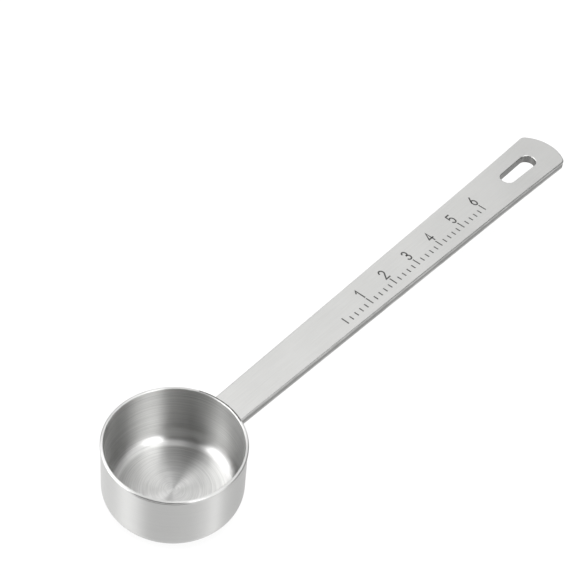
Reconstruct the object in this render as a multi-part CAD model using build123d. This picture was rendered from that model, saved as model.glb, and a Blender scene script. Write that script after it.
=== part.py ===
from build123d import *
import math
import os

# Measuring spoon of one tablespoon, 15 ml, in stainless steel. Lengths are in millimetres.
# The cup's axis is Z, the handle runs along +X, and the origin is the centre of the cup's base.

# Cup: drawn sheet with a flat base, a rounded lower corner and a thickened lip
cup_inner_radius = 16.5
cup_inner_depth = 17.85
wall = 0.65
inner_corner_radius = 3.55
lip_proud = 0.15
lip_height = 0.6
lip_top_round = 0.3

# Handle: flat bar with straight tapering sides that flare out over its last stretch
handle_reach = 157.0
handle_drop = 3.6
handle_thickness = 2.6
handle_width_at_cup = 9.3
handle_width_at_flare = 13.1
handle_width_at_end = 15.0
flare_length = 39.0
end_arc_radius = 10.7
end_corner_radius = 2.0
edge_round = 0.3

# Hanging slot: wider at its outer end, as the handle is
slot_end_margin = 8.4
slot_length = 14.3
slot_inner_width = 4.2
slot_outer_width = 4.6
# The bar is kept as two simple solids that meet face to face, this far before the slot
slot_lead = 0.7

# Weld round the handle's seat on the cup's wall. Its hollow face passes at this share of the leg
# from both surfaces, and runs a little way into the bar before the bar is cut from it.
weld_leg = 0.7
weld_face_share = 0.36
weld_overrun = 0.15

cup_outer_radius = cup_inner_radius + wall
cup_height = cup_inner_depth + wall
lip_radius = cup_outer_radius + lip_proud
handle_top = cup_height - handle_drop
handle_bottom = handle_top - handle_thickness


def cup_hollow():
    """The space inside the cup, up to the rim's plane."""
    block = Pos(0, 0, wall) * Cylinder(
        cup_inner_radius, cup_inner_depth, align=(Align.CENTER, Align.CENTER, Align.MIN)
    )
    lower_edge = block.edges().filter_by(GeomType.CIRCLE).sort_by(Axis.Z)[0]
    return fillet(lower_edge, inner_corner_radius)


def cup_blank():
    """The cup's outer shape, solid, with its lip."""
    outer_corner_radius = inner_corner_radius + wall
    body = Cylinder(cup_outer_radius, cup_height, align=(Align.CENTER, Align.CENTER, Align.MIN))
    body = fillet(body.edges().filter_by(GeomType.CIRCLE).sort_by(Axis.Z)[0], outer_corner_radius)
    lip = Pos(0, 0, cup_height - lip_height) * Cylinder(
        lip_radius, lip_height, align=(Align.CENTER, Align.CENTER, Align.MIN)
    )
    lower_edge = lip.edges().filter_by(GeomType.CIRCLE).sort_by(Axis.Z)[0]
    lip = chamfer(lower_edge, lip_proud)
    return body + lip


def make_cup():
    cup = cup_blank() - cup_hollow()
    rim_edges = cup.edges().filter_by(GeomType.CIRCLE).group_by(Axis.Z)[-1]
    return fillet(rim_edges, lip_top_round)


def side_slope():
    """How fast each side of the handle leaves the middle line, before the flare."""
    widening = (handle_width_at_flare - handle_width_at_cup) / 2
    return widening / (handle_reach - flare_length - cup_outer_radius)


def half_width_at(x):
    """Half the handle's width at a distance from the cup's axis, before the flare."""
    return handle_width_at_cup / 2 + side_slope() * (x - cup_outer_radius)


def handle_outline():
    """The handle's face seen from above, from the cup's axis to the curved end."""
    half_at_axis = half_width_at(0)
    half_at_flare = handle_width_at_flare / 2
    half_at_end = handle_width_at_end / 2
    flare_x = handle_reach - flare_length
    end_centre = handle_reach - end_arc_radius
    corner_x = end_centre + math.sqrt(end_arc_radius**2 - half_at_end**2)
    straight = Line((0, half_at_axis), (flare_x, half_at_flare))
    flare = TangentArc((flare_x, half_at_flare), (corner_x, half_at_end), tangent=(1, side_slope()))
    side = [straight, flare]
    other_side = [mirror(edge, about=Plane.XZ) for edge in side]
    root = Line((0, -half_at_axis), (0, half_at_axis))
    tip = ThreePointArc((corner_x, half_at_end), (handle_reach, 0), (corner_x, -half_at_end))
    face = make_face([root, tip] + side + other_side)
    corners = face.vertices().filter_by(lambda corner: abs(corner.X - corner_x) < edge_round)
    return fillet(corners, end_corner_radius)


def slot_outline():
    """The hanging slot: two round ends joined by straight tangent sides."""
    inner_radius = slot_inner_width / 2
    outer_radius = slot_outer_width / 2
    outer_x = handle_reach - slot_end_margin - outer_radius
    inner_x = handle_reach - slot_end_margin - slot_length + inner_radius
    spacing = outer_x - inner_x
    lean = (outer_radius - inner_radius) / spacing
    across = math.sqrt(1 - lean**2)
    inner_top = (inner_x - inner_radius * lean, inner_radius * across)
    outer_top = (outer_x - outer_radius * lean, outer_radius * across)
    inner_low = (inner_top[0], -inner_top[1])
    outer_low = (outer_top[0], -outer_top[1])
    edges = [
        Line(inner_top, outer_top),
        ThreePointArc(outer_top, (outer_x + outer_radius, 0), outer_low),
        Line(outer_low, inner_low),
        ThreePointArc(inner_low, (inner_x - inner_radius, 0), inner_top),
    ]
    return make_face(edges)


def handle_bar():
    """The whole bar with its rounded edges, running in to the cup's axis."""
    bar = extrude(handle_outline() - slot_outline(), handle_thickness)
    bar = Pos(0, 0, handle_bottom) * bar
    rims = bar.faces().sort_by(Axis.Z)
    edges = rims[0].edges() + rims[-1].edges()
    root_edges = edges.filter_by(lambda edge: abs(edge.center().X) < edge_round)
    return fillet(edges - root_edges, edge_round)


def wall_cylinder():
    """The cup's outer wall as a solid, where the handle meets it."""
    return Cylinder(cup_outer_radius, cup_height, align=(Align.CENTER, Align.CENTER, Align.MIN))


def make_handle():
    """The bar, hollowed to sit on the cup. It is one piece of steel, kept as two touching solids."""
    bar = handle_bar() - wall_cylinder()
    seam_x = handle_reach - slot_end_margin - slot_length - slot_lead
    return split(bar, bisect_by=Plane.YZ.offset(seam_x), keep=Keep.BOTH)


def weld_collar():
    """A band round the cup, as high as the handle and its weld, that narrows away from the wall."""
    near = cup_outer_radius + weld_face_share * weld_leg
    far = cup_outer_radius + weld_leg
    low_end = (cup_outer_radius, 0, handle_bottom - weld_leg)
    low_middle = (near, 0, handle_bottom - weld_face_share * weld_leg)
    low_tip = (far, 0, handle_bottom + weld_overrun)
    high_tip = (far, 0, handle_top - weld_overrun)
    high_middle = (near, 0, handle_top + weld_face_share * weld_leg)
    high_end = (cup_outer_radius, 0, handle_top + weld_leg)
    edges = [
        Polyline(high_end, (0, 0, high_end[2]), (0, 0, low_end[2]), low_end),
        ThreePointArc(low_end, low_middle, low_tip),
        Line(low_tip, high_tip),
        ThreePointArc(high_tip, high_middle, high_end),
    ]
    return revolve(make_face(edges), Axis.Z)


def weld_plan():
    """The weld seen from above: it spreads along the wall on each side of the handle."""
    seat_x = math.sqrt(cup_outer_radius**2 - (handle_width_at_cup / 2) ** 2)
    seat_y = half_width_at(seat_x)
    wall_y = seat_y + weld_leg
    wall_x = math.sqrt(cup_outer_radius**2 - wall_y**2)
    tip_x = seat_x + weld_leg
    tip_y = half_width_at(tip_x) - weld_overrun
    front_x = cup_outer_radius + weld_leg + weld_overrun
    middle = (seat_x + weld_face_share * weld_leg, seat_y + weld_face_share * weld_leg)
    side = ThreePointArc((wall_x, wall_y), middle, (tip_x, tip_y))
    other_side = mirror(side, about=Plane.XZ)
    root = Polyline((wall_x, wall_y), (0, wall_y), (0, -wall_y), (wall_x, -wall_y))
    # Above and below the bar, the weld runs on to the collar's edge, so the front lies past it.
    front = Polyline((tip_x, tip_y), (front_x, tip_y), (front_x, -tip_y), (tip_x, -tip_y))
    return make_face([root, side, front, other_side])


def make_weld():
    """The bead, all round the handle's seat."""
    block = extrude(weld_plan(), cup_height)
    return (weld_collar() & block) - wall_cylinder() - handle_bar()


nodes = {
    "cup": make_cup(),
    "handle": make_handle(),
    "weld_bead": make_weld(),
}

cubic_mm_per_ml = 1000
capacity = cup_hollow().volume / cubic_mm_per_ml
print("capacity level with the rim, ml:", round(capacity, 2))

os.makedirs("parts", exist_ok=True)
for name, shape in nodes.items():
    export_step(shape, f"parts/{name}.step")
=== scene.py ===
import math

import bmesh
import bpy
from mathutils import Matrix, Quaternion, Vector


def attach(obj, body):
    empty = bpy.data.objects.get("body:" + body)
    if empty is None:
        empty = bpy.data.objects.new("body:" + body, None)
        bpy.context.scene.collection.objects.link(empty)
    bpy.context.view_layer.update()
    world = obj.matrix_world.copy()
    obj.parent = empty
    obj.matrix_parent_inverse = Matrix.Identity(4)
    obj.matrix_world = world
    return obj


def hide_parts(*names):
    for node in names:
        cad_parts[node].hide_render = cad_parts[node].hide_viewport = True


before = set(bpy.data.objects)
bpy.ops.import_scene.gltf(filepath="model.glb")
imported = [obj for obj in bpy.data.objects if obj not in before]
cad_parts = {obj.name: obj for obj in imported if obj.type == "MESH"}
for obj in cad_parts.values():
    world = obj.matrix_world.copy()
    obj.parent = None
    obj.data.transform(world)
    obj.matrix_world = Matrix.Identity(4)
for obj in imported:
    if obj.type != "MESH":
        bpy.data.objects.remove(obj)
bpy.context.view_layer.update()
mm = 0.001
hair = 0.01  # in mm, a distance too small to see
mostly = 0.5  # a face counts as facing along an axis when its normal has more than this of it
print("frame loaded:", sorted(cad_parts))


def arc(centre, radius, start, end, steps):  # points along an arc, angles in degrees
    points = []
    for i in range(steps + 1):
        turn = math.radians(start + (end - start) * i / steps)
        points.append((centre[0] + radius * math.cos(turn), centre[1] + radius * math.sin(turn)))
    return points


def turnOf(point, centre):  # the direction from a centre to a point, in degrees
    return math.degrees(math.atan2(point[1] - centre[1], point[0] - centre[0]))


def bridge(bm, loops):  # joins each closed loop to the next; a loop of one point closes the shape
    for one, two in zip(loops, loops[1:]):
        count = max(len(one), len(two))
        for i in range(count):
            j = (i + 1) % count
            corners = [one[i % len(one)], one[j % len(one)], two[j % len(two)], two[i % len(two)]]
            bm.faces.new(list(dict.fromkeys(corners)))


def toMesh(name, bm, sharpAngle):  # the pieces are modelled in millimetres and kept in metres
    bmesh.ops.recalc_face_normals(bm, faces=bm.faces)
    for vertex in bm.verts:
        vertex.co *= mm
    mesh = bpy.data.meshes.new(name)
    bm.to_mesh(mesh)
    bm.free()
    for face in mesh.polygons:
        face.use_smooth = True
    mesh.set_sharp_from_angle(angle=math.radians(sharpAngle))
    return mesh


def paintMask(mesh, name, weigh):  # stores how much of an edge, crease or bend each point is
    mask = mesh.attributes.new(name, "FLOAT", "POINT")
    for vertex in mesh.vertices:
        mask.data[vertex.index].value = weigh(vertex.co / mm)


def addPiece(name, mesh, materials, replacedNode=None):
    piece = bpy.data.objects.new(name, mesh)
    bpy.context.scene.collection.objects.link(piece)
    for material in materials:
        mesh.materials.append(material)
    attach(piece, "root")
    if replacedNode:
        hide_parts(replacedNode)
    print("piece made:", name, len(mesh.polygons), "faces")


def addNode(tree, kind, place, settings=None, values=None):
    node = tree.nodes.new(kind)
    node.location = place
    for key, value in (settings or {}).items():
        setattr(node, key, value)
    for key, value in (values or {}).items():
        node.inputs[key].default_value = value
    return node


def addMath(tree, operation, place):
    return addNode(tree, "ShaderNodeMath", place, {"operation": operation})


def addVectorMath(tree, operation, place):
    return addNode(tree, "ShaderNodeVectorMath", place, {"operation": operation})


def addNoise(tree, place, values):
    return addNode(tree, "ShaderNodeTexNoise", place, None, values)


def addRange(tree, place, values):  # moves a value from one range to another
    return addNode(tree, "ShaderNodeMapRange", place, None, values)


def addGroup(tree, group, place, values=None):
    return addNode(tree, "ShaderNodeGroup", place, {"node_tree": group}, values)


def layColour(tree, place, under, over, share):  # lays a colour over another, or over a socket's colours
    mix = addNode(tree, "ShaderNodeMix", place, {"data_type": "RGBA"})
    if isinstance(under, tuple):
        mix.inputs["A"].default_value = (*under, 1)
    else:
        tree.links.new(under, mix.inputs["A"])
    mix.inputs["B"].default_value = (*over, 1)
    tree.links.new(share, mix.inputs["Factor"])
    return mix.outputs["Result"]


def newGroup(name, inputs, outputs):  # inputs by name with their usual values, outputs by name
    tree = bpy.data.node_groups.new(name, "ShaderNodeTree")
    for label, value in inputs.items():
        socket = tree.interface.new_socket(label, in_out="INPUT", socket_type="NodeSocketFloat")
        socket.default_value = value
    for label in outputs:
        tree.interface.new_socket(label, in_out="OUTPUT", socket_type="NodeSocketFloat")
    entry = addNode(tree, "NodeGroupInput", (-1400, 0))
    leave = addNode(tree, "NodeGroupOutput", (700, 0))
    return tree, entry, leave


def newMaterial(name):
    material = bpy.data.materials.new(name)
    material.use_nodes = True
    material.node_tree.nodes.clear()
    return material


# Turning marks: fine rings round the cup's axis, on its floor, corner and walls alike
def makeTurnedMarks():
    tree, entry, leave = newGroup(
        "turnedMarks",
        {"Rings per metre": 3000.0, "Breaks per turn": 4.0, "Band rings per metre": 500.0},
        ["Rings", "Bands"],
    )
    link = tree.links.new
    place = addNode(tree, "ShaderNodeTexCoord", (-1200, 300))
    flat = addVectorMath(tree, "MULTIPLY", (-1000, 300))
    flat.inputs[1].default_value = (1, 1, 0)
    length = addVectorMath(tree, "LENGTH", (-800, 200))
    around = addVectorMath(tree, "NORMALIZE", (-800, 400))
    height = addNode(tree, "ShaderNodeSeparateXYZ", (-1000, 100))
    travel = addMath(tree, "ADD", (-600, 200))  # out along the floor, and on up the wall
    spread = addVectorMath(tree, "SCALE", (-600, 400))
    link(place.outputs["Object"], flat.inputs[0])
    link(place.outputs["Object"], height.inputs[0])
    link(flat.outputs[0], length.inputs[0])
    link(flat.outputs[0], around.inputs[0])
    link(length.outputs["Value"], travel.inputs[0])
    link(height.outputs["Z"], travel.inputs[1])
    link(around.outputs[0], spread.inputs[0])
    link(entry.outputs["Breaks per turn"], spread.inputs["Scale"])
    layers = [("Rings", "Rings per metre", 4.0, 300), ("Bands", "Band rings per metre", 2.0, -100)]
    for label, rate, detail, row in layers:
        fine = addMath(tree, "MULTIPLY", (-400, row))
        lift = addNode(tree, "ShaderNodeCombineXYZ", (-200, row))
        where = addVectorMath(tree, "ADD", (0, row))
        noise = addNoise(tree, (200, row), {"Scale": 1.0, "Detail": detail, "Roughness": 0.6})
        link(travel.outputs[0], fine.inputs[0])
        link(entry.outputs[rate], fine.inputs[1])
        link(fine.outputs[0], lift.inputs["Z"])
        link(spread.outputs[0], where.inputs[0])
        link(lift.outputs[0], where.inputs[1])
        link(where.outputs[0], noise.inputs["Vector"])
        link(noise.outputs["Fac"], leave.inputs[label])
    return tree


# Satin: short fine scratches along the handle, under a broad haze
def makeSatinGrain():
    tree, entry, leave = newGroup(
        "satinGrain",
        {"Along": 120.0, "Across": 6000.0, "Clouds": 60.0},
        ["Grain", "Haze"],
    )
    link = tree.links.new
    place = addNode(tree, "ShaderNodeTexCoord", (-1000, 300))
    stretch = addNode(tree, "ShaderNodeCombineXYZ", (-1000, 0))
    where = addVectorMath(tree, "MULTIPLY", (-800, 200))
    grain = addNoise(tree, (-400, 200), {"Scale": 1.0, "Detail": 3.0, "Roughness": 0.6})
    haze = addNoise(tree, (-400, -100), {"Detail": 2.0, "Roughness": 0.5})
    link(entry.outputs["Along"], stretch.inputs["X"])
    link(entry.outputs["Across"], stretch.inputs["Y"])
    link(entry.outputs["Across"], stretch.inputs["Z"])
    link(place.outputs["Object"], where.inputs[0])
    link(stretch.outputs[0], where.inputs[1])
    link(where.outputs[0], grain.inputs["Vector"])
    link(grain.outputs["Fac"], leave.inputs["Grain"])
    link(place.outputs["Object"], haze.inputs["Vector"])
    link(entry.outputs["Clouds"], haze.inputs["Scale"])
    link(haze.outputs["Fac"], leave.inputs["Haze"])
    return tree


# Patchy mask: what is painted on the mesh, heavier in some places than in others
def makePatchyMask(name, maskName, outputName, detail, patchRange):
    tree, entry, leave = newGroup(name, {"Patches": 400.0, "Amount": 0.5}, [outputName])
    link = tree.links.new
    painted = addNode(tree, "ShaderNodeAttribute", (-800, 200), {"attribute_name": maskName})
    place = addNode(tree, "ShaderNodeTexCoord", (-800, -100))
    noise = addNoise(tree, (-500, -100), {"Detail": detail})
    patches = addRange(tree, (-250, -100), patchRange)
    both = addMath(tree, "MULTIPLY", (0, 100))
    scaled = addMath(tree, "MULTIPLY", (200, 100))
    link(place.outputs["Object"], noise.inputs["Vector"])
    link(entry.outputs["Patches"], noise.inputs["Scale"])
    link(noise.outputs["Fac"], patches.inputs["Value"])
    link(painted.outputs["Fac"], both.inputs[0])
    link(patches.outputs[0], both.inputs[1])
    link(both.outputs[0], scaled.inputs[0])
    link(entry.outputs["Amount"], scaled.inputs[1])
    link(scaled.outputs[0], leave.inputs[outputName])
    return tree


# Rounded edges are rubbed bright, partly as a painted highlight. Crease shade is painted shade: in the
# groove under the lip, over and at the weld, on the slot's walls and on the end's edge.
wearAndSheenRange = {"From Min": 0.35, "From Max": 0.65, "To Min": 0.5}
shadeRange = {"From Min": 0.3, "From Max": 0.6, "To Min": 0.7}
turnedMarks = makeTurnedMarks()
satinGrain = makeSatinGrain()
edgeWearAndSheen = makePatchyMask("edgeWearAndSheen", "edgeMask", "WearAndSheen", detail=2.0, patchRange=wearAndSheenRange)
creaseShade = makePatchyMask("creaseShade", "creaseMask", "Shade", detail=3.0, patchRange=shadeRange)
print("shared effects made")


def makeSteel(name, finish):  # brushed steel: marks, worn edges partly painted as a highlight, and painted crease shade steer its colour, roughness and bump
    material = newMaterial(name)
    tree = material.node_tree
    link = tree.links.new
    brushing = {"Anisotropic": finish["anisotropy"], "Anisotropic Rotation": finish["turn"]}
    shader = addNode(tree, "ShaderNodeBsdfPrincipled", (600, 0), None, {"Metallic": 1.0, **brushing})
    output = addNode(tree, "ShaderNodeOutputMaterial", (900, 0))
    link(shader.outputs["BSDF"], output.inputs["Surface"])
    marks = addGroup(tree, finish["marks"], (-700, 200), finish["markValues"])
    wearAndSheen = addGroup(tree, edgeWearAndSheen, (-700, -100), finish["wearAndSheenValues"])
    crease = addGroup(tree, creaseShade, (-700, 500), finish["creaseValues"])
    bend = addNode(tree, "ShaderNodeAttribute", (-700, -400), {"attribute_name": "bendMask"})
    fine, broad = marks.outputs[0], marks.outputs[1]
    spread = {"From Min": 0.3, "From Max": 0.7}  # most of what a noise gives lies between these

    contrast = addRange(tree, (-400, 300), spread)
    link(fine, contrast.inputs["Value"])
    tone = layColour(tree, (-200, 300), finish["darkTone"], finish["lightTone"], contrast.outputs[0])
    # Worn edges lighten the colour, partly as a painted highlight
    rubbedAndSheened = layColour(tree, (0, 300), tone, finish["wornAndSheenTone"], wearAndSheen.outputs["WearAndSheen"])
    # Painted shade darkens the colour along the crease mask
    shaded = layColour(tree, (200, 300), rubbedAndSheened, finish["creaseTone"], crease.outputs["Shade"])
    link(shaded, shader.inputs["Base Color"])

    least, most = finish["roughness"]
    rough = addRange(tree, (-200, 0), {**spread, "To Min": least, "To Max": most})
    burnish = addRange(tree, (-200, -300), {"To Min": 1.0, "To Max": finish["burnish"]})
    smoothed = addMath(tree, "MULTIPLY", (200, 0))
    link(broad, rough.inputs["Value"])
    link(bend.outputs["Fac"], burnish.inputs["Value"])
    link(rough.outputs[0], smoothed.inputs[0])
    link(burnish.outputs[0], smoothed.inputs[1])
    link(smoothed.outputs[0], shader.inputs["Roughness"])

    calm = addRange(tree, (0, -500), {"To Min": finish["bump"], "To Max": finish["bump"] * finish["calm"]})
    bump = addNode(tree, "ShaderNodeBump", (200, -200), None, {"Distance": finish["depth"]})
    tangent = addNode(tree, "ShaderNodeTangent", (200, -400), finish["tangent"])
    link(bend.outputs["Fac"], calm.inputs["Value"])
    link(calm.outputs[0], bump.inputs["Strength"])
    link(fine, bump.inputs["Height"])
    link(bump.outputs["Normal"], shader.inputs["Normal"])
    link(tangent.outputs[0], shader.inputs["Tangent"])
    return material


# Cup: one spun profile from the middle of the floor, over the rim, to the middle of the base
cup = {
    "innerRadius": 16.5,
    "innerDepth": 17.85,
    "wall": 0.65,
    "innerCorner": 3.55,
    "lipProud": 0.15,
    "lipHeight": 0.6,
    "rimRound": 0.3,
    "rimInnerRound": 0.18,
    "grooveDepth": 0.09,
    "grooveHeight": 0.2,
    "grooveFloor": (0.1, 0.6),  # the groove is deepest between these shares of its height
    "shadeSpread": 2.0,  # the painted shade reaches this far past each side of the handle
    "shadeEdgeRings": (0.2, 0.16),  # two rings on the rim, close together, that keep the painted shade's edge narrow
    "supportGap": 0.1,  # rings this close to a bend keep its shading crisp
    "floorShares": (0, 0.02, 0.06, 0.12, 0.25, 0.4, 0.55, 0.7, 0.85),
    "wallShares": (0.15, 0.3, 0.45, 0.6, 0.75, 0.9),
    "baseShares": (0.7, 0.4, 0.15, 0),
    "cornerSteps": 24,
    "rimSteps": 7,
    "rimInnerSteps": 6,
    "segments": 256,
    "sharpAngle": 40,
    "inside": {
        "marks": turnedMarks,
        "markValues": {"Rings per metre": 3500.0, "Breaks per turn": 0.8, "Band rings per metre": 600.0},
        "wearAndSheenValues": {"Patches": 300.0, "Amount": 0.75},
        "creaseValues": {"Patches": 900.0, "Amount": 0.95},
        "darkTone": (0.56, 0.56, 0.555),
        "lightTone": (0.74, 0.74, 0.73),
        # worn edges, lighter partly as a painted highlight
        "wornAndSheenTone": (0.77, 0.77, 0.76),
        # the colour of the painted shade
        "creaseTone": (0.08, 0.078, 0.075),
        "roughness": (0.32, 0.36),
        "burnish": 0.9,  # share of the roughness that is left in the corner
        "calm": 0.25,  # share of the bump that is left there
        "anisotropy": 0.95,
        "turn": 0.25,
        "bump": 0.36,
        "depth": 0.00002,
        "tangent": {"direction_type": "RADIAL", "axis": "Z"},
    },
}
cup["outside"] = dict(
    cup["inside"],
    darkTone=(0.565, 0.565, 0.56),
    lightTone=(0.59, 0.59, 0.58),
    roughness=(0.30, 0.32),
    bump=0.05,
)
cup["outerRadius"] = cup["innerRadius"] + cup["wall"]
cup["lipRadius"] = cup["outerRadius"] + cup["lipProud"]
cup["flatRadius"] = cup["innerRadius"] - cup["innerCorner"]  # the floor is flat inside this radius
cup["bendHeight"] = cup["wall"] + cup["innerCorner"]  # the corner meets the wall at this height
cup["top"] = cup["innerDepth"] + cup["wall"]
cup["lipFoot"] = cup["top"] - cup["lipHeight"]


def cupProfile():
    inner, outer, lip = cup["innerRadius"], cup["outerRadius"], cup["lipRadius"]
    top, foot, flat, bend = cup["top"], cup["lipFoot"], cup["flatRadius"], cup["bendHeight"]
    edge, small, gap = cup["rimRound"], cup["rimInnerRound"], cup["supportGap"]
    wallTop = top - small
    points = [(flat * share, cup["wall"]) for share in cup["floorShares"]]
    points += [(flat - gap, cup["wall"])]
    points += arc((flat, bend), cup["innerCorner"], -90, 0, cup["cornerSteps"])
    points += [(inner, bend + gap)]
    points += [(inner, bend + (wallTop - bend) * share) for share in cup["wallShares"]]
    points += [(inner, wallTop - gap)]
    points += arc((inner + small, wallTop), small, 180, 90, cup["rimInnerSteps"])
    points += [(lip - edge - ring, top) for ring in cup["shadeEdgeRings"]]
    points += arc((lip - edge, top - edge), edge, 90, 0, cup["rimSteps"])
    points += [(lip, foot + cup["lipProud"])]
    groove, tall = outer - cup["grooveDepth"], cup["grooveHeight"]  # a fine groove under the lip
    points += [(groove, foot - tall * share) for share in cup["grooveFloor"]]
    points += [(outer, foot - tall), (outer, foot - tall - gap)]
    points += [(outer, bend + (foot - bend) * (1 - share)) for share in cup["wallShares"]]
    points += [(outer, bend + gap)]
    points += arc((flat, bend), bend, 0, -90, cup["cornerSteps"])
    points += [(flat - gap, 0)]
    points += [(flat * share, 0) for share in cup["baseShares"]]
    return points


def spin(profile, segments):
    bm = bmesh.new()
    rings = []
    for radius, height in profile:
        spots = arc((0, 0), radius, 0, 360, segments)[:-1] if radius > 0 else [(0, 0)]
        rings.append([bm.verts.new((x, y, height)) for x, y in spots])
    bridge(bm, rings)
    return bm


# The rim's rounded top counts as worn, and its brightening is partly a painted highlight
def cupEdge(point):
    return 1.0 if point.z > cup["top"] - cup["rimRound"] else 0.0


def cupCrease(point):  # painted shade in the groove under the lip, and on lip and wall above the weld
    radius = point.xy.length
    outer, foot = cup["outerRadius"], cup["lipFoot"]
    deep = outer - cup["grooveDepth"] - hair < radius < outer - 2 * hair
    inGroove = deep and foot - cup["grooveHeight"] < point.z < foot + hair
    shadeHalf = handle["widthAtCup"] / 2 + cup["shadeSpread"]
    overWeld = point.x > 0 and abs(point.y) < shadeHalf and point.z > handle["top"]
    onLip = radius > cup["lipRadius"] - cup["rimRound"] - sum(cup["shadeEdgeRings"]) / 2
    underLip = radius > outer - 2 * hair and point.z < foot
    return 1.0 if inGroove or (overWeld and (onLip or underLip)) else 0.0


def cupBend(point):  # the corner between floor and wall, burnished by the draw
    across = point.xy.length - cup["flatRadius"]
    down = cup["bendHeight"] - point.z
    if across <= 0 or down <= 0 or math.hypot(across, down) > cup["innerCorner"] + cup["wall"] / 2:
        return 0.0
    return math.sin(2 * math.atan2(across, down)) ** 0.5


def isInside(face):
    radius, height = face.center.xy.length / mm, face.center.z / mm
    facesAxis = face.normal.xy.dot(face.center.xy) < 0
    facesUp = face.normal.z > mostly
    onRim = height > cup["top"] - cup["rimRound"]
    onFloor = facesUp and height < cup["top"] / 2
    return facesAxis or onFloor or (onRim and radius < cup["innerRadius"] + cup["wall"] / 2)


def makeCup():
    mesh = toMesh("cupBody", spin(cupProfile(), cup["segments"]), cup["sharpAngle"])
    for face in mesh.polygons:
        face.material_index = 0 if isInside(face) else 1
    paintMask(mesh, "edgeMask", cupEdge)
    paintMask(mesh, "creaseMask", cupCrease)
    paintMask(mesh, "bendMask", cupBend)
    inside = makeSteel("cupInsideSteel", cup["inside"])
    outside = makeSteel("cupOutsideSteel", cup["outside"])
    addPiece("cupBody", mesh, [inside, outside], "cup")


# Handle: a flat bar, its rounded edges laid as loops round the outline and round the hanging slot
handle = {
    "reach": 157.0,
    "top": 14.9,
    "thickness": 2.6,
    "seatRadius": 17.14,  # a hair inside the cup's wall, so that no gap shows
    "seatClear": 1.0,  # points of the outline closer to the wall than this give way to the seat
    "seatHalvings": 40,
    "widthAtCup": 9.3,
    "widthAtFlare": 13.1,
    "widthAtEnd": 15.0,
    "flareLength": 39.0,
    "endRadius": 10.7,
    "cornerRadius": 2.0,
    "edgeRound": 0.3,
    "topRound": 0.38,
    "shearStep": 0.03,  # above the break, the sides stand back this far
    "shearHeight": 0.15,
    "supportGap": 0.08,
    "slotMargin": 8.4,
    "slotLength": 14.3,
    "slotWidths": (4.2, 4.6),
    "slotSlack": 0.1,
    # Painted shade on the slot's walls and on the end's edge
    "slotShade": 0.6,
    "endShade": 0.5,
    "endShadeLength": 3.8,
    "shadeMargins": (0.1, 0.05),  # no painted shade this close to the top face and to the bottom face
    "shearedNormals": (-0.95, 0.2),  # the sides and the lower rounds have the sheared finish, darkened with painted shade
    "straightSteps": 60,
    "flareSteps": 24,
    "cornerSteps": 12,
    "tipSteps": 20,
    "seatSteps": 8,
    "slotSteps": 28,
    "roundSteps": 6,
    "sharpAngle": 40,
    "mergeGap": 0.0005,
    "finish": {
        "marks": satinGrain,
        "markValues": {"Along": 150.0, "Across": 5000.0, "Clouds": 60.0},
        "wearAndSheenValues": {"Patches": 200.0, "Amount": 0.6},
        "creaseValues": {"Patches": 700.0, "Amount": 0.9},
        "darkTone": (0.59, 0.59, 0.58),
        "lightTone": (0.63, 0.63, 0.62),
        # worn edges, lighter partly as a painted highlight
        "wornAndSheenTone": (0.78, 0.78, 0.77),
        # the colour of the painted shade
        "creaseTone": (0.13, 0.125, 0.12),
        "roughness": (0.34, 0.40),
        "burnish": 1.0,
        "calm": 1.0,
        "anisotropy": 0.5,
        "turn": 0.25,
        "bump": 0.06,
        "depth": 0.00001,
        "tangent": {"direction_type": "UV_MAP", "uv_map": "lengthwise"},
    },
}
# The sides' sheared finish: rougher, with its tones darkened as painted shade
handle["sheared"] = dict(
    handle["finish"],
    markValues={"Along": 900.0, "Across": 2500.0, "Clouds": 250.0},
    darkTone=(0.20, 0.20, 0.195),
    lightTone=(0.27, 0.27, 0.265),
    roughness=(0.36, 0.44),
    anisotropy=0.2,
    bump=0.15,
)


def crossing(one, oneRadius, two, twoRadius):  # where two circles cross, on the side further along X
    gap = (two - one).length
    along = (oneRadius ** 2 - twoRadius ** 2 + gap ** 2) / (2 * gap)
    aside = math.sqrt(oneRadius ** 2 - along ** 2)
    step = (two - one) / gap
    across = Vector((-step.y, step.x))
    options = [one + step * along + across * aside * side for side in (1, -1)]
    return max(options, key=lambda option: option.x)


def follow(centre, radius, first, last, steps):  # an arc's points, and the directions away from its centre
    spots = arc(centre, radius, turnOf(first, centre), turnOf(last, centre), steps)
    return [(Vector(spot), (Vector(spot) - centre).normalized()) for spot in spots]


def handleSide():  # points and outward directions from the cup to the tip, on the +Y side
    flareX = handle["reach"] - handle["flareLength"]
    rate = (handle["widthAtFlare"] - handle["widthAtCup"]) / 2 / (flareX - cup["outerRadius"])
    out = Vector((-rate, 1)).normalized()
    endRadius, halfEnd, small = handle["endRadius"], handle["widthAtEnd"] / 2, handle["cornerRadius"]
    flareStart = Vector((flareX, handle["widthAtFlare"] / 2))
    tip = Vector((handle["reach"], 0))
    tipCentre = Vector((handle["reach"] - endRadius, 0))
    corner = tipCentre + Vector((math.sqrt(endRadius ** 2 - halfEnd ** 2), halfEnd))
    chord = corner - flareStart
    bow = chord.length_squared / (2 * chord.dot(out))  # radius of the flare, curving outwards
    flareCentre = flareStart + out * bow
    roundCentre = crossing(tipCentre, endRadius - small, flareCentre, bow + small)
    onFlare = flareCentre + (roundCentre - flareCentre).normalized() * bow
    onTip = tipCentre + (roundCentre - tipCentre).normalized() * endRadius

    points = []
    for i in range(handle["straightSteps"]):
        x = flareX * i / handle["straightSteps"]
        points.append((Vector((x, flareStart.y - rate * (flareX - x))), out))
    flare = follow(flareCentre, bow, flareStart, onFlare, handle["flareSteps"])
    points += [(point, -inward) for point, inward in flare]
    points += follow(roundCentre, small, onFlare, onTip, handle["cornerSteps"])[1:]
    points += follow(tipCentre, endRadius, onTip, tip, handle["tipSteps"])[1:]
    return points


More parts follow.
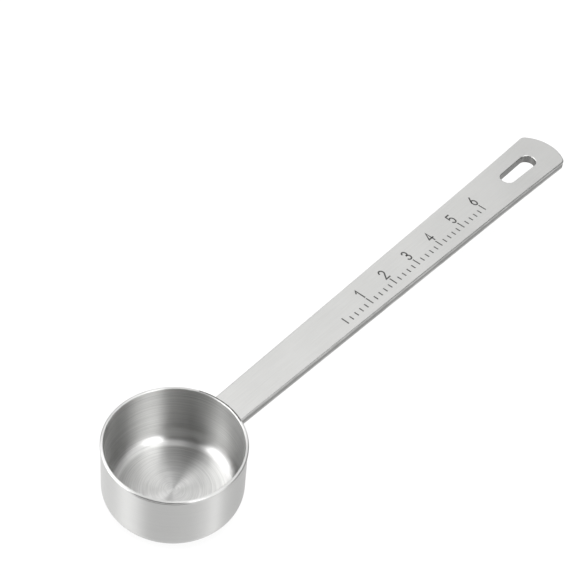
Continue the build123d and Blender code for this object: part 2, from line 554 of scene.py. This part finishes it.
def handleLoop(side, inset):  # the closed outline, moved in by the inset, ending on the cup's wall
    upper = [point - out * inset for point, out in side]
    wallRadius = handle["seatRadius"]
    clear = wallRadius + handle["seatClear"]
    first = next(i for i, point in enumerate(upper) if point.length > clear)
    low, high = upper[0], upper[first]
    for _ in range(handle["seatHalvings"]):  # until the stretch has shrunk to a point on the wall
        middle = (low + high) / 2
        if middle.length < wallRadius:
            low = middle
        else:
            high = middle
    seat = (low + high) / 2
    upper = [seat] + upper[first:]
    lower = [Vector((point.x, -point.y)) for point in reversed(upper[:-1])]
    seatTurn = turnOf(seat, (0, 0))
    root = arc((0, 0), wallRadius, -seatTurn, seatTurn, handle["seatSteps"])[1:-1]
    return upper + lower + [Vector(spot) for spot in root]


def slotLoop(outset):
    innerRadius, outerRadius = (width / 2 for width in handle["slotWidths"])
    outerX = handle["reach"] - handle["slotMargin"] - outerRadius
    innerX = handle["reach"] - handle["slotMargin"] - handle["slotLength"] + innerRadius
    lean = math.degrees(math.asin((outerRadius - innerRadius) / (outerX - innerX)))
    steps = handle["slotSteps"]
    points = arc((outerX, 0), outerRadius + outset, -90 - lean, 90 + lean, steps)
    points += arc((innerX, 0), innerRadius + outset, 90 + lean, 270 - lean, steps)
    return [Vector(spot) for spot in points]


def edgeProfile(step, topRound):  # how far in and how high, from the bottom face's edge to the top face's
    top, edge, gap, steps = handle["top"], handle["edgeRound"], handle["supportGap"], handle["roundSteps"]
    bottom = top - handle["thickness"]
    middle = (top + bottom) / 2
    profile = [(edge + gap, bottom)]
    profile += [(edge - x, bottom + edge + z) for x, z in arc((0, 0), edge, -90, 0, steps)]
    if step:
        tall = handle["shearHeight"]
        profile += [(0, middle - tall), (0, middle - tall / 2)]
        profile += [(step, middle + tall / 2), (step, middle + tall)]
    profile += [(step + topRound - x, top - topRound + z) for x, z in arc((0, 0), topRound, 0, 90, steps)]
    profile += [(step + topRound + gap, top)]
    return profile


def placeLoop(bm, loop, height):
    return [bm.verts.new((spot.x, spot.y, height)) for spot in loop]


def makeHandleMesh():
    bm = bmesh.new()
    side = handleSide()
    barProfile = edgeProfile(handle["shearStep"], handle["topRound"])
    slotProfile = edgeProfile(0, handle["edgeRound"])
    outer = [placeLoop(bm, handleLoop(side, inset), height) for inset, height in barProfile]
    inner = [placeLoop(bm, slotLoop(outset), height) for outset, height in slotProfile]
    bridge(bm, outer)
    bridge(bm, inner)
    bm.edges.ensure_lookup_table()
    for k in (0, -1):  # the bottom face, then the top face
        rims = []
        for loop in (outer[k], inner[k]):
            for i, vertex in enumerate(loop):
                rims.append(bm.edges.get((vertex, loop[(i + 1) % len(loop)])))
        bmesh.ops.triangle_fill(bm, use_beauty=True, use_dissolve=False, edges=rims)
    # On each face, two loops pass through the same point in the middle of the seat, so it is merged
    bmesh.ops.remove_doubles(bm, verts=bm.verts, dist=handle["mergeGap"])
    return toMesh("handleBar", bm, handle["sharpAngle"])


def layGrainMap(mesh):  # u runs along the handle on its faces and round its edges
    layer = mesh.uv_layers.new(name="lengthwise")
    for face in mesh.polygons:
        for corner in face.loop_indices:
            point = mesh.vertices[mesh.loops[corner].vertex_index].co
            if abs(face.normal.z) > mostly:
                layer.data[corner].uv = (point.x, point.y)
            elif abs(face.normal.y) > mostly:
                layer.data[corner].uv = (point.x, point.z)
            else:
                layer.data[corner].uv = (point.y, point.z)


def inSlot(point):  # on the slot's walls, with a little slack
    slack = handle["slotSlack"]
    slotEnd = handle["reach"] - handle["slotMargin"]
    slotStart = slotEnd - handle["slotLength"]
    halfWidth = handle["slotWidths"][1] / 2
    return slotStart - slack < point.x < slotEnd + slack and abs(point.y) < halfWidth + slack


# The rounded edges, outside the slot, count as worn, and their brightening is partly a painted highlight
def handleEdge(point):
    low, high = handle["top"] - handle["thickness"], handle["top"]
    nearFace = min(abs(point.z - low), abs(point.z - high))
    return 1.0 if hair < nearFace < handle["topRound"] and not inSlot(point) else 0.0


def handleCrease(point):  # painted shade that thickens down the slot's walls, and less of it on the end's edge
    depth = handle["top"] - point.z
    topMargin, bottomMargin = handle["shadeMargins"]
    if depth > handle["thickness"] - bottomMargin:
        return 0.0
    if inSlot(point):
        return handle["slotShade"] if depth > handle["topRound"] - hair else 0.0
    atEnd = point.x > handle["reach"] - handle["endShadeLength"]
    return handle["endShade"] if atEnd and depth > topMargin else 0.0


def makeHandle():
    mesh = makeHandleMesh()
    layGrainMap(mesh)
    paintMask(mesh, "edgeMask", handleEdge)
    paintMask(mesh, "creaseMask", handleCrease)
    low, high = handle["shearedNormals"]
    for face in mesh.polygons:
        face.material_index = 1 if low < face.normal.z < high else 0
    satin = makeSteel("handleSteel", handle["finish"])
    sheared = makeSteel("handleShearedShadedSteel", handle["sheared"])
    addPiece("handleBar", mesh, [satin, sheared], "handle")


# Weld: a hollow fillet round the bar's seat on the wall, with low ripples left by the torch
weld = {
    "leg": 0.7,
    "hollow": 0.36,  # the face's middle lies this share of the leg off both surfaces
    "ripplePitch": 0.8,
    "rippleHeight": 0.035,
    "shadeReach": 0.3,
    "cornerSteps": 8,
    "longSteps": 40,
    "shortSteps": 10,
    "faceSteps": 8,
    "sharpAngle": 50,
    "finish": dict(
        handle["finish"],
        markValues={"Along": 900.0, "Across": 1500.0, "Clouds": 500.0},
        darkTone=(0.60, 0.59, 0.57),
        lightTone=(0.72, 0.72, 0.71),
        roughness=(0.34, 0.46),
        anisotropy=0.0,
        bump=0.3,
        tangent={"direction_type": "RADIAL", "axis": "X"},
    ),
}


def seatPath():  # round the bar's section where it meets the wall: points (y, z) and outward directions
    half, edge = handle["widthAtCup"] / 2, handle["edgeRound"]
    left, right = -half + edge, half - edge
    low, high = handle["top"] - handle["thickness"] + edge, handle["top"] - edge
    corners = [(right, high), (left, high), (left, low), (right, low)]
    path = []
    for i, corner in enumerate(corners):
        for spot in arc((0, 0), 1, 90 * i, 90 * i + 90, weld["cornerSteps"]):
            out = Vector(spot)
            path.append((Vector(corner) + out * edge, out))
        begin = Vector(corner) + out * edge
        end = Vector(corners[(i + 1) % 4]) + out * edge
        steps = weld["longSteps"] if i % 2 == 0 else weld["shortSteps"]
        path += [(begin.lerp(end, k / steps), out) for k in range(1, steps)]
    return path


def makeWeldMesh():
    bm = bmesh.new()
    wallRadius, leg = handle["seatRadius"], weld["leg"]
    path = seatPath()
    rings = []
    travelled = 0.0
    for i, (seat, out) in enumerate(path):
        if i:
            travelled += (seat - path[i - 1][0]).length
        far = seat + out * leg
        wallX = math.sqrt(wallRadius ** 2 - far.x ** 2)
        seatX = math.sqrt(wallRadius ** 2 - seat.x ** 2)
        onWall = Vector((wallX, far.x, far.y))
        onBar = Vector((seatX + leg, seat.x, seat.y))
        corner = Vector((seatX, seat.x, seat.y))
        pull = corner.lerp((onWall + onBar) / 2, 4 * weld["hollow"] - 1)  # sets the curve's middle
        ripple = weld["rippleHeight"] * math.sin(2 * math.pi * travelled / weld["ripplePitch"])
        face = []
        for k in range(weld["faceSteps"] + 1):
            share = k / weld["faceSteps"]
            spot = onWall * (1 - share) ** 2 + pull * 2 * share * (1 - share) + onBar * share ** 2
            lift = (spot - corner).normalized()
            face.append(spot + lift * ripple * math.sin(math.pi * share))
        rings.append([bm.verts.new(spot) for spot in face + [corner]])
    bridge(bm, rings + rings[:1])
    return toMesh("weldBead", bm, weld["sharpAngle"])


def weldCrease(point):  # painted shade, darkest where the bead meets the cup
    return max(0.0, 1.0 - (point.xy.length - handle["seatRadius"]) / weld["shadeReach"])


def makeWeld():
    mesh = makeWeldMesh()
    paintMask(mesh, "creaseMask", weldCrease)
    addPiece("weldBead", mesh, [makeSteel("weldSteel", weld["finish"])], "weld_bead")


# Scale: plain dark ruler ticks and numbers, a hair proud, where the handle is marked
scale = {
    "start": 61.0,
    "pitch": 2.0,
    "count": 31,
    "longEvery": 5,
    "foot": -3.1,
    "shortTick": 1.1,
    "longTick": 2.1,
    "numberFoot": -0.3,
    "numberHeight": 3.1,
    "numberWidth": 1.7,
    "bowlSteps": 14,
    "stroke": 0.44,
    "tickStroke": 0.36,
    "proud": 0.012,
    "sunk": 0.02,
    "mitreLimit": 0.5,  # keeps the joints of sharp turns from growing long
    "sharpAngle": 30,
    "darkTone": (0.045, 0.045, 0.045),
    "lightTone": (0.075, 0.075, 0.073),
    "roughness": (0.6, 0.8),
    "specular": 0.08,
}


def bowl(centreX, centreY, radiusX, radiusY, start, end):
    turns = arc((0, 0), 1, start, end, scale["bowlSteps"])
    return [(centreX + radiusX * x, centreY + radiusY * y) for x, y in turns]


# The numbers as lines, in shares of their width and height
numberLines = {
    1: [(0.2, 0.76), (0.55, 1.0), (0.55, 0.0)],
    2: bowl(0.5, 0.72, 0.42, 0.28, 165, -35) + [(0.06, 0.0), (0.94, 0.0)],
    3: bowl(0.46, 0.75, 0.38, 0.25, 150, -90) + bowl(0.46, 0.26, 0.42, 0.26, 90, -150),
    4: [(0.98, 0.3), (0.04, 0.3), (0.72, 1.0), (0.72, 0.0)],
    5: [(0.86, 1.0), (0.2, 1.0), (0.14, 0.55)] + bowl(0.46, 0.32, 0.42, 0.32, 115, -145),
    6: [(0.78, 1.0), (0.3, 0.62)] + bowl(0.5, 0.31, 0.4, 0.31, 150, -210),
}


def layStroke(bm, line, width):  # a flat strip on the handle's top, with mitred joints
    points = [Vector(spot) for spot in line]
    low, high = handle["top"] - scale["sunk"], handle["top"] + scale["proud"]
    half = width / 2
    rows = []
    for i, point in enumerate(points):
        before = (point - points[i - 1]).normalized() if i else None
        after = (points[i + 1] - point).normalized() if i + 1 < len(points) else None
        one, two = before or after, after or before
        along = (one + two).normalized()
        across = Vector((-along.y, along.x))
        stretch = 1 / max(scale["mitreLimit"], across.dot(Vector((-one.y, one.x))))
        if before is None:
            point = point - after * half
        if after is None:
            point = point + before * half
        left = point + across * half * stretch
        right = point - across * half * stretch
        corners = ((left, low), (left, high), (right, high), (right, low))
        rows.append([bm.verts.new((spot.x, spot.y, height)) for spot, height in corners])
    bridge(bm, rows)
    bm.faces.new(rows[0])
    bm.faces.new(rows[-1])


def makeEtchedTone():
    material = newMaterial("etchedMark")
    tree = material.node_tree
    link = tree.links.new
    fixed = {"Metallic": 0.0, "Specular IOR Level": scale["specular"]}
    shader = addNode(tree, "ShaderNodeBsdfPrincipled", (300, 0), None, fixed)
    output = addNode(tree, "ShaderNodeOutputMaterial", (600, 0))
    grain = addGroup(tree, satinGrain, (-500, 0), {"Along": 2500.0, "Across": 6000.0, "Clouds": 300.0})
    tone = layColour(tree, (0, 100), scale["darkTone"], scale["lightTone"], grain.outputs["Grain"])
    least, most = scale["roughness"]
    rough = addRange(tree, (0, -150), {"To Min": least, "To Max": most})
    link(grain.outputs["Haze"], rough.inputs["Value"])
    link(tone, shader.inputs["Base Color"])
    link(rough.outputs[0], shader.inputs["Roughness"])
    link(shader.outputs["BSDF"], output.inputs["Surface"])
    return material


def makeScale():
    bm = bmesh.new()
    width, height = scale["numberWidth"], scale["numberHeight"]
    for i in range(scale["count"]):
        x = scale["start"] + scale["pitch"] * i
        isLong = i % scale["longEvery"] == 0
        length = scale["longTick"] if isLong else scale["shortTick"]
        layStroke(bm, [(x, scale["foot"]), (x, scale["foot"] + length)], scale["tickStroke"])
        if isLong and i > 0:
            line = numberLines[i // scale["longEvery"]]
            placed = [(x + (u - 0.5) * width, scale["numberFoot"] + v * height) for u, v in line]
            layStroke(bm, placed, scale["stroke"])
    mesh = toMesh("scaleMarks", bm, scale["sharpAngle"])
    addPiece("scaleMarks", mesh, [makeEtchedTone()])


makeCup()
makeHandle()
makeWeld()
makeScale()


# Room: a plain pale floor, a soft studio round the steel, and one broad lamp for the shadow
room = {
    "floorHalf": 2.0,
    "floorDrop": 0.00005,
    "floorTone": (0.8, 0.8, 0.8),
    "floorGlow": 1.04,
    "shadowShare": 0.12,
    "base": 1.0,
    # Each row: azimuth, half width, soft; elevation, half height, soft; strength, all angles in degrees
    "cards": [
        (-157, 39, 6, 35, 45, 15, 0.93),
        (-26, 32, 15, 15, 35, 12, 0.85),
        (75, 16, 10, 12, 25, 12, 0.8),
        (150, 30, 12, 66, 14, 8, 0.8),
        (60, 40, 15, 72, 8, 8, 0.5),
        (-106, 10, 8, -45, 25, 15, 0.15),
        (14, 14, 8, 20, 14, 8, 0.5),
    ],
    "panels": [
        (-97, 16, 8, 54, 17, 10, 3.3),
        (134, 22, 8, 48, 18, 10, 3.2),
        (99, 23, 10, 50, 15, 9, 1.5),
        (-42, 25, 12, 60, 8, 6, 0.6),
        (40, 34, 20, 56, 14, 12, 0.42),
        (156, 16, 18, -45, 25, 15, 0.75),
        (-72, 7, 7, -45, 25, 15, 0.7),
        (36, 175, 5, 90, 7, 6, 1.6),
    ],
    "lampSize": 0.6,
    "lampPlace": (0.06, 0.0, 0.9),
    "lampPower": 6.0,
}


def makeSoftPanel():  # one soft patch on the studio's walls, by azimuth and elevation
    sides = [("Azimuth", "Half Width", "Width Softness"), ("Elevation", "Half Height", "Height Softness")]
    labels = [*sides[0], *sides[1], "Strength"]
    tree, entry, leave = newGroup("softPanel", dict.fromkeys(labels, 0.0), ["Light"])
    link = tree.links.new
    place = addNode(tree, "ShaderNodeTexCoord", (-1200, 300))
    parts = addNode(tree, "ShaderNodeSeparateXYZ", (-1000, 300))
    azimuth = addMath(tree, "ARCTAN2", (-800, 500))
    elevation = addMath(tree, "ARCSINE", (-800, 0))
    link(place.outputs["Generated"], parts.inputs[0])
    link(parts.outputs["Y"], azimuth.inputs[0])
    link(parts.outputs["X"], azimuth.inputs[1])
    link(parts.outputs["Z"], elevation.inputs[0])
    halfTurn = 180
    shares = []
    for angle, (middle, width, soft), row in ((azimuth, sides[0], 500), (elevation, sides[1], 0)):
        degrees = addMath(tree, "DEGREES", (-600, row))
        away = addMath(tree, "SUBTRACT", (-400, row))
        wrapped = addMath(tree, "WRAP", (-200, row))
        wrapped.inputs[1].default_value = halfTurn
        wrapped.inputs[2].default_value = -halfTurn
        size = addMath(tree, "ABSOLUTE", (0, row))
        inner = addMath(tree, "SUBTRACT", (-200, row - 150))
        outer = addMath(tree, "ADD", (-200, row - 300))
        share = addRange(tree, (200, row), {"To Min": 1.0, "To Max": 0.0})
        share.interpolation_type = "SMOOTHSTEP"
        link(angle.outputs[0], degrees.inputs[0])
        link(degrees.outputs[0], away.inputs[0])
        link(entry.outputs[middle], away.inputs[1])
        link(away.outputs[0], wrapped.inputs[0])
        link(wrapped.outputs[0], size.inputs[0])
        for node in (inner, outer):
            link(entry.outputs[width], node.inputs[0])
            link(entry.outputs[soft], node.inputs[1])
        link(size.outputs[0], share.inputs["Value"])
        link(inner.outputs[0], share.inputs["From Min"])
        link(outer.outputs[0], share.inputs["From Max"])
        shares.append(share)
    both = addMath(tree, "MULTIPLY", (400, 200))
    light = addMath(tree, "MULTIPLY", (500, 0))
    link(shares[0].outputs[0], both.inputs[0])
    link(shares[1].outputs[0], both.inputs[1])
    link(both.outputs[0], light.inputs[0])
    link(entry.outputs["Strength"], light.inputs[1])
    link(light.outputs[0], leave.inputs["Light"])
    return tree


def makeStudio():  # the camera sees plain white; the steel sees the studio's cards and panels
    world = bpy.data.worlds.new("studio")
    bpy.context.scene.world = world
    world.use_nodes = True
    tree = world.node_tree
    tree.nodes.clear()
    link = tree.links.new
    softPanel = makeSoftPanel()
    base = addNode(tree, "ShaderNodeValue", (-800, 0))
    base.outputs[0].default_value = room["base"]
    light = base.outputs[0]
    patches = [(True, card) for card in room["cards"]] + [(False, panel) for panel in room["panels"]]
    for i, (isCard, values) in enumerate(patches):
        row = 300 + 250 * i
        patch = addGroup(tree, softPanel, (-800, row))
        for socket, value in zip(patch.inputs, values):
            socket.default_value = value
        share = patch.outputs[0]
        if isCard:  # a card takes its strength's share of the light away, and a panel adds its own
            left = addMath(tree, "SUBTRACT", (-600, row))
            left.inputs[0].default_value = 1.0
            link(share, left.inputs[1])
            share = left.outputs[0]
        joined = addMath(tree, "MULTIPLY" if isCard else "ADD", (-400, row))
        link(light, joined.inputs[0])
        link(share, joined.inputs[1])
        light = joined.outputs[0]
    path = addNode(tree, "ShaderNodeLightPath", (-500, -300))
    cameraSees = addNode(tree, "ShaderNodeMix", (0, 0), None, {"B": 1.0})
    background = addNode(tree, "ShaderNodeBackground", (200, 0), None, {"Color": (1, 1, 1, 1)})
    output = addNode(tree, "ShaderNodeOutputWorld", (400, 0))
    link(path.outputs["Is Camera Ray"], cameraSees.inputs["Factor"])
    link(light, cameraSees.inputs["A"])
    link(cameraSees.outputs["Result"], background.inputs["Strength"])
    link(background.outputs[0], output.inputs["Surface"])


def makeFloorTone():  # white to the camera, with the soft shadow left in; clear from below
    material = newMaterial("paleFloor")
    tree = material.node_tree
    link = tree.links.new
    diffuse = addNode(tree, "ShaderNodeBsdfDiffuse", (-400, 0), None, {"Color": (*room["floorTone"], 1)})
    glow = addNode(tree, "ShaderNodeEmission", (-400, -200), None, {"Strength": room["floorGlow"]})
    seen = addNode(tree, "ShaderNodeMixShader", (-100, 0))
    seen.inputs[0].default_value = 1 - room["shadowShare"]
    path = addNode(tree, "ShaderNodeLightPath", (-400, 400))
    surface = addNode(tree, "ShaderNodeMixShader", (100, 0))
    back = addNode(tree, "ShaderNodeNewGeometry", (-100, 400))
    clear = addNode(tree, "ShaderNodeBsdfTransparent", (100, -200))
    whole = addNode(tree, "ShaderNodeMixShader", (300, 0))
    output = addNode(tree, "ShaderNodeOutputMaterial", (500, 0))
    link(diffuse.outputs[0], seen.inputs[1])
    link(glow.outputs[0], seen.inputs[2])
    link(path.outputs["Is Camera Ray"], surface.inputs[0])
    link(diffuse.outputs[0], surface.inputs[1])
    link(seen.outputs[0], surface.inputs[2])
    link(back.outputs["Backfacing"], whole.inputs[0])
    link(surface.outputs[0], whole.inputs[1])
    link(clear.outputs[0], whole.inputs[2])
    link(whole.outputs[0], output.inputs["Surface"])
    return material


def makeFloor():
    half = room["floorHalf"]
    corners = [(-half, -half, 0), (half, -half, 0), (half, half, 0), (-half, half, 0)]
    mesh = bpy.data.meshes.new("floor")
    mesh.from_pydata(corners, [], [(0, 1, 2, 3)])
    mesh.materials.append(makeFloorTone())
    floor = bpy.data.objects.new("floor", mesh)
    bpy.context.scene.collection.objects.link(floor)
    floor.location.z = -room["floorDrop"]
    floor.visible_glossy = False
    floor.visible_shadow = False


def makeLamp():
    lamp = bpy.data.lights.new("overheadLamp", "AREA")
    lamp.size = room["lampSize"]
    lamp.energy = room["lampPower"]
    holder = bpy.data.objects.new("overheadLamp", lamp)
    bpy.context.scene.collection.objects.link(holder)
    holder.location = room["lampPlace"]
    holder.visible_glossy = False
    holder.visible_camera = False


# Camera: a long lens, high on the side away from the handle and rolled a little, as for the photograph
view = {
    "place": (-174.025, -155.215, 310.453),
    "azimuth": 36.235,
    "elevation": 45.582,
    "roll": 6.1,
    "lens": 100,
    "sensor": 36,
    "nearest": 0.01,
    "farthest": 20,
}


def makeCamera():
    camera = bpy.data.cameras.new("camera")
    camera.lens = view["lens"]
    camera.sensor_width = view["sensor"]
    camera.clip_start = view["nearest"]
    camera.clip_end = view["farthest"]
    holder = bpy.data.objects.new("camera", camera)
    bpy.context.scene.collection.objects.link(holder)
    azimuth, elevation = math.radians(view["azimuth"]), math.radians(view["elevation"])
    level = math.cos(elevation)
    forward = Vector((level * math.cos(azimuth), level * math.sin(azimuth), -math.sin(elevation)))
    roll = Quaternion((0, 0, 1), math.radians(view["roll"]))
    holder.rotation_mode = "QUATERNION"
    holder.rotation_quaternion = forward.to_track_quat("-Z", "Y") @ roll
    holder.location = Vector(view["place"]) * mm
    bpy.context.scene.camera = holder


makeStudio()
makeFloor()
makeLamp()
makeCamera()
bpy.context.scene.view_settings.view_transform = "Standard"
print("room and camera made")

bpy.context.view_layer.update()
